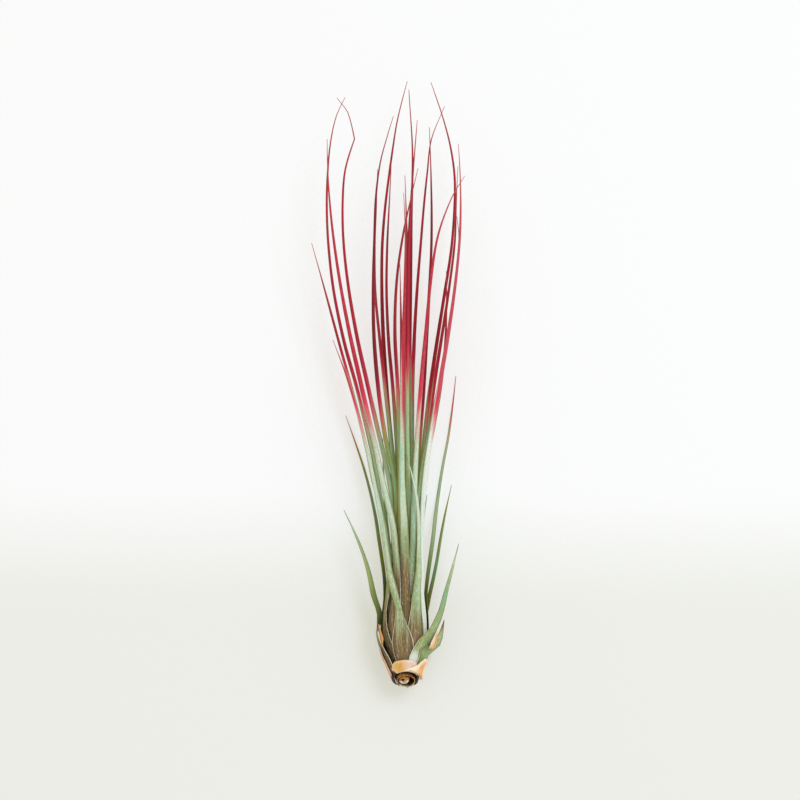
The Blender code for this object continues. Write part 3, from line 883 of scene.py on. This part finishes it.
class StemAxis:
    """The line that the stem follows: straight, and curled up over its last stretch."""

    CURL_LENGTH = 16 * MM
    CURL_ANGLE = math.radians(28)
    FAR_END = 30 * MM
    END_FACE = 0.01 * MM

    def __init__(self) -> None:
        """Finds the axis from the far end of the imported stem."""
        corners = [vertex.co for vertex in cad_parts["stem"].data.vertices]
        last = max(corner.y for corner in corners) - self.END_FACE
        ring = {tuple(round(part, 6) for part in c) for c in corners if c.y > last}
        far_end = sum((Vector(corner) for corner in ring), Vector()) / len(ring)
        self.bent_at = far_end + Vector((0, self.CURL_LENGTH - self.FAR_END, 0))

    def at(self, station: float) -> tuple[Vector, Vector]:
        """Finds the axis at a station.

        Args:
            station: Metres along the stem from its cut end.

        Returns:
            The point and the upward normal.
        """
        if station >= self.CURL_LENGTH:
            return self.bent_at + Vector((0, station - self.CURL_LENGTH, 0)), Vector((0, 0, 1))
        bend = self.CURL_LENGTH / self.CURL_ANGLE
        angle = (self.CURL_LENGTH - station) / bend
        sine, cosine = math.sin(angle), math.cos(angle)
        return self.bent_at + Vector((0, -bend * sine, bend * (1 - cosine))), Vector((0, sine, cosine))

    def around(self, station: float, radius: float, turn: float) -> Vector:
        """Returns the point at a station and a radius, turned from the plant's right."""
        point, up = self.at(station)
        return point + radius * (Vector((math.cos(turn), 0, 0)) + up * math.sin(turn))


AXIS = StemAxis()


@dataclass(frozen=True)
class CoreFinish:
    """Cut woody tissue: golden fibres, dark pores, weathered brown outside; painted shade in hollows,
    painted highlight below.
    """

    gold: Triple = srgb(208, 150, 70)
    straw: Triple = srgb(250, 234, 204)
    rust: Triple = srgb(150, 84, 34)
    bark: Triple = srgb(92, 52, 26)
    pore_and_shade: Triple = srgb(40, 15, 9)
    relief_mm: float = 0.22

    MARKS = ("core", "lay")

    def make(self, name: str) -> bpy.types.Material:
        """Makes the material.

        Args:
            name: The material's name.

        Returns:
            The material.
        """
        graph = Graph(name, self.rust)
        round_x, round_y, radius = graph.attribute("core")
        painted_shade, low, _ = graph.attribute("lay")
        spot = graph.place(1 / MM)
        grain = graph.noise(graph.vector(round_x * 4.5, round_y * 4.5, radius * 0.9), 4.0, 0.65)
        cloud = graph.noise(spot, scale=0.7)
        pores = graph.specks(spot, 1.9)
        graph.lay(self.gold, grain.ease(0.36, 0.56))
        # The straw follows the grain, and adds a painted highlight on the lower side of the cut.
        graph.lay(self.straw, (grain * 0.5 + cloud * 0.5 + low * 0.18).ease(0.46, 0.64) * 0.9)
        graph.lay(self.bark, (cloud + (grain - 0.5) * 0.4).ease(0.52, 0.36) * 0.7)
        graph.lay(self.pore_and_shade, pores.ease(0.26, 0.12) * cloud.ease(0.62, 0.46) * 0.85)
        # Painted shade: the dark hollow colour where a row takes shade, in the pith's hole, inside the
        # collar and deep in the nest.
        graph.lay(self.pore_and_shade, (painted_shade + (cloud - 0.5) * 0.9).ease(0.25, 0.95))
        normal = graph.bump(grain + pores.ease(0.1, 0.35) * 0.6, self.relief_mm)
        return graph.finish(Roughness=grain * 0.25 + 0.62, Normal=normal, Specular_IOR_Level=0.35)


@dataclass
class CutStem(PlantPart):
    """The short woody stem, with its torn pith open at the cut end.

    A row is the station and the radius in millimetres, and the roughness.
    """

    node: str = "stem"
    sides: int = 48
    lean_mm: tuple[float, float] = (-1.1, 0.0)
    lean_fades_mm: float = 5.0
    hole_mm: tuple[float, float] = (-0.35, 0.55)
    hole_within_mm: tuple[float, float] = (2.4, 0.9)
    pith_rows: tuple = ((2.6, 0.4, 0.1), (1.6, 0.5, 0.3), (0.8, 0.55, 0.4), (0.3, 0.62, 0.4),
                        (0.06, 0.74, 0.4))
    end_rows: tuple = ((-0.08, 0.95, 0.3), (-0.14, 1.25, 0.2), (-0.14, 1.6, 0.14), (-0.1, 1.95, 0.1),
                       (0.0, 2.25, 0.08), (0.16, 2.46, 0.06), (0.4, 2.56, 0.05))
    bark_rows: tuple = ((0.9, 2.42, 0.05), (1.8, 2.46, 0.05), (3, 2.52, 0.05), (5, 3.25, 0.06),
                        (8, 4.5, 0.06), (12, 4.9, 0.06), (17, 4.5, 0.05), (22, 4.0, 0.05),
                        (27, 2.9, 0.04), (29.8, 1.2, 0.0))

    # How much painted shade each part takes: full in the open pith, none on the cut face, a little on
    # the bark.
    PITH_DARK, END_DARK, BARK_DARK = 1.0, 0.0, 0.25
    LOBE_RATE, LOBE_DRIFT, LOBE_REACH = 1.6, 0.3, 0.9
    FIBRE_RATE, FIBRE_LAYER, FIBRE_REACH = 6.0, 9.0, 0.5
    FRAY = 1.6

    def build(self) -> None:
        """Models the stem round its axis."""
        sheet = Sheet("stem_core", CoreFinish.MARKS)
        rows = [(*row, self.PITH_DARK) for row in self.pith_rows]
        rows += [(*row, self.END_DARK) for row in self.end_rows]
        rows += [(*row, self.BARK_DARK) for row in self.bark_rows]
        pith, far_end = sheet.tube(self.sides, rows, self._shape)
        sheet.close(far_end, pith)
        self.piece = sheet.piece(self.node, Slot.STEM)

    def _shape(self, sheet: Sheet, vertex: Corner, turn: float,
               row: tuple[float, float, float, float]) -> None:
        """Moves a corner to its row, roughened, and marks it.

        Args:
            sheet: The mesh in the making.
            vertex: The corner.
            turn: Its angle round the ring.
            row: The station, the radius, the roughness, and how much painted shade it takes.
        """
        station, radius, rough, painted_shade = row
        lean = max(0.0, 1 - station / self.lean_fades_mm)
        hole = lean * eased(radius, *self.hole_within_mm)
        right, rise = (tilt * lean + off * hole for tilt, off in zip(self.lean_mm, self.hole_mm))
        lobe = ring_noise(turn, self.LOBE_RATE, station * self.LOBE_DRIFT)
        fibre = ring_noise(turn, self.FIBRE_RATE, station + self.FIBRE_LAYER)
        reach = radius * (1 + rough * (self.LOBE_REACH * lobe + self.FIBRE_REACH * fibre))
        along = station + rough * self.FRAY * fibre
        shift = Vector((right, 0, 0)) + AXIS.at(along * MM)[1] * rise
        vertex.co = AXIS.around(along * MM, reach * MM, turn) + shift * MM
        sheet.mark(vertex, core=(math.cos(turn), math.sin(turn), reach),
                   lay=(painted_shade, -math.sin(turn), 0.0))


@dataclass
class StemCollar(PlantPart):
    """The fibrous ring that an old leaf base left round the cut end.

    A row is the station and the radius in millimetres, how torn it is, and how much painted
    shade it takes, for the hollow inside the ring and the collar's foot in the nest. A tear is a
    noise round the rim: its strength, its rate and its layer.
    """

    node: str = "stem_collar"
    sides: int = 72
    inner_rows: tuple = ((5.3, 3.92, 0.0, 1.2), (3.6, 3.92, 0.0, 1.2), (1.8, 3.94, 0.0, 1.1),
                         (0.6, 3.98, 0.3, 1.0), (-0.2, 4.04, 0.7, 0.7))
    outer_rows: tuple = ((-0.62, 4.16, 1.0, 0.0), (-0.66, 4.3, 1.0, 0.0), (-0.4, 4.44, 0.9, 0.1),
                         (0.4, 4.5, 0.4, 0.3), (1.6, 4.5, 0.1, 0.6), (3.4, 4.5, 0.0, 0.9),
                         (5.3, 4.48, 0.0, 1.1))
    tears: tuple = ((1.0, 1.3, 4.0), (1.0, 9.0, 1.0), (0.5, 21.0, 2.0))
    tear_mm: float = 0.42
    dent_mm: float = 0.07

    DENT_RATE, DENT_DRIFT = 5.0, 0.8
    SHADED_SIDES = (0.15, 0.25)
    GRAIN_ROUND, GRAIN_ALONG = 2.0, 0.4

    def build(self) -> None:
        """Models the collar as a tube of rings whose last joins its first."""
        sheet = Sheet("collar_ring", CoreFinish.MARKS)
        first, last = sheet.tube(self.sides, self.inner_rows + self.outer_rows, self._shape)
        bmesh.ops.bridge_loops(sheet.mesh, edges=last + first)
        self.piece = sheet.piece(self.node, Slot.DRY)

    def _shape(self, sheet: Sheet, vertex: Corner, turn: float,
               row: tuple[float, float, float, float]) -> None:
        """Moves a corner to its row, torn at the rim, and marks it.

        Args:
            sheet: The mesh in the making.
            vertex: The corner.
            turn: Its angle round the ring.
            row: The station, the radius, how torn it is, and how much painted shade it takes.
        """
        station, radius, torn, painted_shade = row
        x, y = math.cos(turn), math.sin(turn)
        tear = sum(strength * ring_noise(turn, *line) for strength, *line in self.tears)
        along = station + torn * self.tear_mm * tear
        dent = self.dent_mm * ring_noise(turn, self.DENT_RATE, station * self.DENT_DRIFT)
        vertex.co = AXIS.around(along * MM, (radius + dent) * MM, turn)
        # Painted shade: more inside the ring and on its top and right side; the lower side takes the
        # painted highlight.
        dark = painted_shade + self.SHADED_SIDES[0] * x + self.SHADED_SIDES[1] * y
        sheet.mark(vertex, core=(x * self.GRAIN_ROUND, y * self.GRAIN_ROUND,
                                 radius + station * self.GRAIN_ALONG), lay=(dark, -y, 0.0))


def between(points: Sequence[tuple[float, float]], place: float) -> float:
    """Reads a line through points.

    Args:
        points: The places along the line, in order, and the values there.
        place: Where it is read.

    Returns:
        The value, eased between the two points beside the place.
    """
    for (near, first), (far, last) in zip(points, points[1:]):
        if place <= far:
            return lerp(first, last, eased(place, near, far))
    return points[-1][1]


@dataclass(frozen=True)
class PaperFinish:
    """A dry, papery leaf base: veined and stained, under a light coat, with a painted highlight on its
    rim and tip.
    """

    left: Triple
    right: Triple
    stain: Triple = srgb(176, 104, 52)
    edge: Triple = srgb(250, 236, 214)
    foot: Triple = srgb(120, 62, 26)
    parting: float = 0.0
    rim_light: float = 0.75
    relief_mm: float = 0.14

    MARKS = ("blade", "habit")

    def make(self, name: str) -> bpy.types.Material:
        """Makes the material.

        Args:
            name: The material's name.

        Returns:
            The material.
        """
        graph = Graph(name, self.left)
        edge = graph.attribute("blade")[2]
        rise, rim, _ = graph.attribute("habit")
        veins = graph.streaks(2.6, 0.09, 1.0, 3.0, 0.6)
        cloud = graph.streaks(0.42, 0.3, 5.0)
        fine = graph.streaks(5.0, 1.1, 9.0, 2.0, 0.6)
        sway = veins - 0.5
        parted = (edge - self.parting + (cloud - 0.5) * 0.5 + sway * 0.2).ease(-0.3, 0.3)
        graph.lay(self.right, parted)
        graph.lay(self.stain, (cloud + sway * 0.5).ease(0.5, 0.74) * 0.55)
        graph.lay(self.edge, veins.ease(0.52, 0.72) * 0.4)
        graph.lay(self.foot, (rise + sway * 0.3).ease(0.16, -0.02) * 0.7)
        # Painted highlight: the pale edge colour along the torn rim and near the tip.
        graph.lay(self.edge, (rim + (fine - 0.5) * 0.3).ease(0.42, 0.1) * self.rim_light)
        normal = graph.bump(veins + cloud * 0.5 + fine * 0.2, self.relief_mm)
        return graph.finish(Roughness=fine * 0.25 + 0.4, Normal=normal,
                            Coat_Weight=0.18, Coat_Roughness=0.35, Sheen_Weight=0.1)


class Tear(Enum):
    """How a dry leaf base has come apart: the share of its half width, and tears a millimetre."""

    SMOOTH = (0.05, 0.9)
    FRAYED = (0.14, 1.6)
    RAGGED = (0.24, 2.4)


@dataclass
class DrySheath(PlantPart):
    """One dead, papery leaf base: a thin curved sheet with torn edges.

    An edge lists how much of the half width is left at shares of the way from the foot to the
    tip. The reach is the share of its solid's length that is left.
    """

    finish: PaperFinish
    tear: Tear = Tear.FRAYED
    crumple_mm: float = 0.12
    thickness_mm: float = 0.26
    steps: int = 36
    left_edge: tuple = ((0, 1), (1, 1))
    right_edge: tuple = ((0, 1), (1, 1))
    foot_mm: float = 0.0
    reach: float = 0.985
    seed: int = field(init=False)

    FINE_TEARS, FINE_TEAR_RATE, FINE_TEAR_SIDE = 0.5, 2.7, 3
    FOLDS_ACROSS, FOLDS_ALONG = 0.5, 0.35
    FINE_FOLDS, FINE_FOLD_RATE = 0.5, 2.3
    TIP_RIM = 1.5
    SEEDS = 97

    def __post_init__(self) -> None:
        """Takes a seed from the node's name."""
        self.seed = sum(ord(letter) for letter in self.node) % self.SEEDS

    def build(self) -> None:
        """Bends a grid round the solid's sections and gives it a thickness."""
        spine = Spine(self.node)
        sheet = Sheet(self.node + "_paper", PaperFinish.MARKS)
        made = bmesh.ops.create_grid(sheet.mesh, x_segments=self.steps, y_segments=self.steps,
                                     size=1.0)
        for vertex in made["verts"]:
            self._shape(sheet, vertex, spine)
        bmesh.ops.solidify(sheet.mesh, geom=sheet.mesh.faces[:], thickness=self.thickness_mm * MM)
        self.piece = sheet.piece(self.node, Slot.DRY)

    @staticmethod
    def _section(spine: Spine, step: float) -> Section:
        """Finds the section at a step, which narrows to the tip past the solid's last ring.

        Args:
            spine: The run of the scale's solid.
            step: How far along the scale the section stands, in metres.

        Returns:
            The section.
        """
        section = spine.at(min(step, spine.steps[-1]))
        beyond = (step - spine.steps[-1]) / (spine.length - spine.steps[-1])
        if beyond <= 0:
            return section
        return replace(section, middle=section.middle.lerp(spine.apex, beyond),
                       half=section.half * (1 - beyond))

    def _bite(self, edge: float, along_mm: float) -> float:
        """Finds how far an edge is torn in.

        Args:
            edge: From -1 at the left edge to 1 at the right, for the side where the corner lies.
            along_mm: How far the corner is along the scale.

        Returns:
            How deep it is torn there, in times the depth that its Tear gives.
        """
        side = math.copysign(1.0, edge) if edge else 1.0
        rate = self.tear.value[1]
        fine = abs(wander(self.seed + side * self.FINE_TEAR_SIDE, along_mm,
                          rate * self.FINE_TEAR_RATE))
        return abs(wander(self.seed + side, along_mm, rate)) + self.FINE_TEARS * fine

    def _shape(self, sheet: Sheet, vertex: Corner, spine: Spine) -> None:
        """Moves a corner of the flat grid to its place on the scale and marks it.

        Args:
            sheet: The mesh in the making.
            vertex: The corner, its x and y from -1 to 1.
            spine: The run of the scale's solid.
        """
        edge, rise = vertex.co.x, (vertex.co.y + 1) / 2
        step = lerp(self.foot_mm * MM, spine.length * self.reach, rise)
        section, along_mm = self._section(spine, step), step / MM
        kept = between(self.right_edge if edge > 0 else self.left_edge, rise)
        across = edge * kept * (1 - self.tear.value[0] * self._bite(edge, along_mm))
        across_mm = across * section.half / MM
        place = Vector((across_mm * self.FOLDS_ACROSS, along_mm * self.FOLDS_ALONG, self.seed))
        fold = noise.noise(place) + self.FINE_FOLDS * noise.noise(place * self.FINE_FOLD_RATE)
        vertex.co = section.point(across, fold * self.crumple_mm * MM / section.wall)
        rim = min(1 - abs(edge), (1 - rise) * self.TIP_RIM)
        sheet.mark(vertex, blade=(across_mm, along_mm + self.seed, edge), habit=(rise, rim, 0.0))


@dataclass
class Studio:
    """A pale surface under soft light from the right, and the camera over the cut end."""

    target: Triple = (0.0058, -0.0111, 0.012)
    elevation: float = 72.0
    distance: float = 1.6
    span: float = 0.3988
    view_depth: float = 20.0
    floor_size: float = 6.0
    floor_near: Triple = srgb(170, 171, 175)
    floor_far: Triple = srgb(177, 178, 183)
    glow_near: Triple = srgb(231, 230, 214)
    glow_far: Triple = srgb(248, 247, 242)
    floor_glow: float = 0.55
    darkens: tuple[float, float] = (-0.12, -0.05)
    weave: float = 900.0
    relief_mm: float = 0.10
    key_place: Triple = (0.72, 0.2, 1.65)
    key_size: float = 0.8
    key_power: float = 11.3
    key_colour: Triple = (0.74, 0.87, 1.0)
    fill: float = 0.80
    fill_colour: Triple = (1.0, 0.975, 0.895)

    def build(self) -> None:
        """Makes the floor, the light, the fill and the camera."""
        self._floor()
        self._key_light()
        self._world()
        self._camera()

    def _floor(self) -> None:
        """Makes the surface that the plant lies on, which glows as painted light."""
        mesh = bmesh.new()
        bmesh.ops.create_grid(mesh, x_segments=2, y_segments=2, size=self.floor_size / 2)
        floor = stand_mesh("floor", mesh)
        graph = Graph("pale_surface", self.floor_near)
        cloth = graph.noise(graph.place(self.weave), 3.0, 0.6)
        # Painted shade: the floor is darker and warmer towards the near side.
        far = graph.parts(graph.place())[1].ease(*self.darkens)
        graph.lay(self.floor_far, far)
        # Painted light: the floor glows, which lifts and warms the shadows round the plant.
        floor.data.materials.append(graph.finish(
            Emission_Color=graph.mix(self.glow_near, self.glow_far, far),
            Emission_Strength=self.floor_glow, Roughness=0.95,
            Normal=graph.bump(cloth, self.relief_mm), Specular_IOR_Level=0.1))

    def _key_light(self) -> None:
        """Hangs a square area light that faces the plant."""
        light = bpy.data.lights.new("key_light", "AREA")
        light.size = self.key_size
        light.energy = self.key_power
        light.color = self.key_colour
        lamp = stand("key_light", light)
        lamp.location = self.key_place
        aim = Vector(self.target) - Vector(self.key_place)
        lamp.rotation_euler = aim.to_track_quat("-Z", "Y").to_euler()

    def _world(self) -> None:
        """Fills the scene with even, slightly warm light."""
        world = bpy.data.worlds.new("soft_fill")
        bpy.context.scene.world = world
        world.use_nodes = True
        sky = world.node_tree.nodes["Background"]
        sky.inputs["Color"].default_value = (*self.fill_colour, 1.0)
        sky.inputs["Strength"].default_value = self.fill

    def _camera(self) -> None:
        """Sets the camera where the photograph was taken from."""
        camera = bpy.data.cameras.new("camera")
        camera.angle = 2 * math.atan(self.span / 2 / self.distance)
        camera.clip_end = self.view_depth
        seen_from = stand("camera", camera)
        lift = math.radians(self.elevation)
        back = Vector((0.0, -math.cos(lift), math.sin(lift)))
        seen_from.location = Vector(self.target) + back * self.distance
        seen_from.rotation_euler = (-back).to_track_quat("-Z", "Y").to_euler()
        bpy.context.scene.camera = seen_from


LEAVES = (
    LivingLeaf("leaf_01_underside_belly", Slot.GREEN, 400, 34, 0.4, 0.4),
    LivingLeaf("leaf_02_right_stub", Slot.GREEN, 400, 10, 0.55, 0.35, -0.9, bare=1.0,
               waists=(0.5, 0.0), waist_at=25),
    LivingLeaf("leaf_03_right_low", Slot.GREEN, 400, 21, 0.6, 0.25, -0.2, bare=1.0,
               waists=(0.35, 0.0), waist_at=26),
    LivingLeaf("leaf_04_left_low", Slot.GREEN, 400, 27, 0.35, 0.45, 0.6),
    LivingLeaf("leaf_05_front_left", Slot.GREEN, 126, 29, 0.75, 0.2, -0.7, red_slant=-10,
               waists=(0.0, 0.8), waist_at=37),
    LivingLeaf("leaf_06_underside_right", Slot.GREEN, 400, 26, 0.4, 0.4),
    LivingLeaf("leaf_07_front_right", Slot.GREEN, 400, 35, 0.75, 0.15, -0.3),
    LivingLeaf("leaf_08_left_dark", Slot.GREEN, 128, 40, 0.2, 0.95, 0.4),
    LivingLeaf("leaf_09_right_dark", Slot.GREEN, 400, 22, 0.3, 1.0, -0.5),
    LivingLeaf("leaf_10_right_slim", Slot.GREEN, 132, 34, 0.5, 0.35, -0.3),
    LivingLeaf("leaf_11_left_outermost", Slot.RED, 150, 44, 0.3, 0.6, -0.5, red_slant=-6),
    LivingLeaf("leaf_12_underside_left", Slot.GREEN, 400, 30, 0.3, 0.5),
    LivingLeaf("leaf_13_right_broad", Slot.RED, 131, 14, 1.5, 0.15, 0.3, red_slant=-10),
    LivingLeaf("leaf_14_left_broad", Slot.RED, 128, 58, 0.7, 0.25, -0.4, red_slant=-6),
    LivingLeaf("leaf_15_middle_broad", Slot.RED, 137, 64, 0.65, 0.25, 0.6, red_slant=-26),
    LivingLeaf("leaf_16_left_bowed", Slot.RED, 134, 60, 0.5, 0.4, -0.3),
    LivingLeaf("leaf_17_right_hooked", Slot.RED, 132, 34, 0.75, 0.25, -0.3, red_slant=4),
    LivingLeaf("leaf_18_right_arched", Slot.RED, 136, 40, 0.3, 0.5, -0.7, red_slant=-12),
    LivingLeaf("leaf_19_left_dark_tall", Slot.RED, 130, 50, 0.1, 1.1),
    LivingLeaf("leaf_20_underside_middle", Slot.RED, 146, 30, 0.3, 0.5),
    LivingLeaf("leaf_21_right_pair", Slot.RED, 132, 36, 0.45, 0.3, -0.7, red_slant=-12, warm=0.8),
    LivingLeaf("leaf_22_left_kinked", Slot.RED, 134, 44, 0.4, 0.5, -0.4, kinked=True),
    LivingLeaf("leaf_23_tallest", Slot.RED, 134, 60, 0.15, 0.6, 0.3),
    LivingLeaf("leaf_24_right_leaning", Slot.RED, 146, 50, 0.3, 0.55, 0.4),
    LivingLeaf("leaf_25_middle_bowed", Slot.RED, 140, 60, 0.25, 0.7, -0.5),
    LivingLeaf("leaf_26_right_upright", Slot.RED, 124, 44, 0.1, 0.75),
    LivingLeaf("leaf_27_left_slim", Slot.RED, 140, 60, 0.25, 0.7, 0.4),
    LivingLeaf("leaf_28_middle_right", Slot.RED, 150, 70, 0.3, 0.55, -0.5),
    LivingLeaf("leaf_29_left_paired", Slot.RED, 144, 60, 0.3, 0.55, 0.4),
    LivingLeaf("leaf_30_right_short", Slot.RED, 140, 50, 0.5, 0.35, 0.3),
    LivingLeaf("leaf_31_right_inner", Slot.RED, 136, 50, 0.35, 0.45, -0.3),
    LivingLeaf("leaf_32_middle_tall", Slot.RED, 160, 70, 0.15, 0.6, 0.4),
    LivingLeaf("leaf_33_middle_left", Slot.RED, 152, 60, 0.1, 0.9, -0.3),
    LivingLeaf("leaf_34_middle_short", Slot.RED, 146, 60, 0.3, 0.6),
)

DRY_SHEATHS = (
    DrySheath("dry_sheath_front", PaperFinish(srgb(226, 168, 70), srgb(232, 198, 176), parting=0.05,
                                                 rim_light=0.3),
              Tear.SMOOTH, reach=0.8, left_edge=((0, 0.55), (0.3, 0.72), (0.6, 1), (1, 1))),
    DrySheath("dry_sheath_right", PaperFinish(srgb(250, 226, 190), srgb(234, 172, 104)), reach=0.84,
              left_edge=((0, 1), (0.07, 0.66), (0.25, 0.48), (0.5, 0.3), (0.8, 0.5), (1, 1)),
              right_edge=((0, 0.7), (0.5, 0.9), (1, 1))),
    DrySheath("dry_sheath_left", PaperFinish(srgb(226, 148, 72), srgb(112, 100, 46), parting=-0.1,
                                             rim_light=0.35),
              foot_mm=3.0),
    DrySheath("dry_sheath_underside", PaperFinish(srgb(112, 78, 44), srgb(140, 98, 58)),
              Tear.RAGGED),
    DrySheath("dry_tip_right", PaperFinish(srgb(240, 212, 160), srgb(218, 140, 52), rim_light=0.4),
              Tear.RAGGED,
              right_edge=((0, 0.3), (0.3, 1), (1, 1))),
    DrySheath("dry_tip_left", PaperFinish(srgb(146, 92, 30), srgb(230, 150, 20), rim_light=0.15),
              Tear.RAGGED,
              left_edge=((0, 0.1), (0.5, 0.5), (1, 1)), right_edge=((0, 0.1), (0.35, 0.9), (1, 1))),
    DrySheath("dry_tip_low_right", PaperFinish(srgb(150, 140, 84), srgb(214, 140, 88))),
)


def main() -> None:
    """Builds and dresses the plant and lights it."""
    logging.basicConfig(level=logging.INFO, format="%(name)s: %(message)s")
    bpy.context.scene.view_settings.view_transform = "Standard"
    leaf_finish = LeafFinish().make("leaf")
    parts = [(leaf, leaf_finish) for leaf in LEAVES]
    parts += [(sheath, sheath.finish.make(sheath.node)) for sheath in DRY_SHEATHS]
    core_finish = CoreFinish().make("core")
    parts += [(core, core_finish) for core in (CutStem(), StemCollar())]
    for part, finish in parts:
        part.build()
        part.dress(finish)
        LOG.info("%s: %d corners", part.piece.name, len(part.piece.data.vertices))
    Studio().build()
    LOG.info("sizes written")


if __name__ == "__main__":
    main()
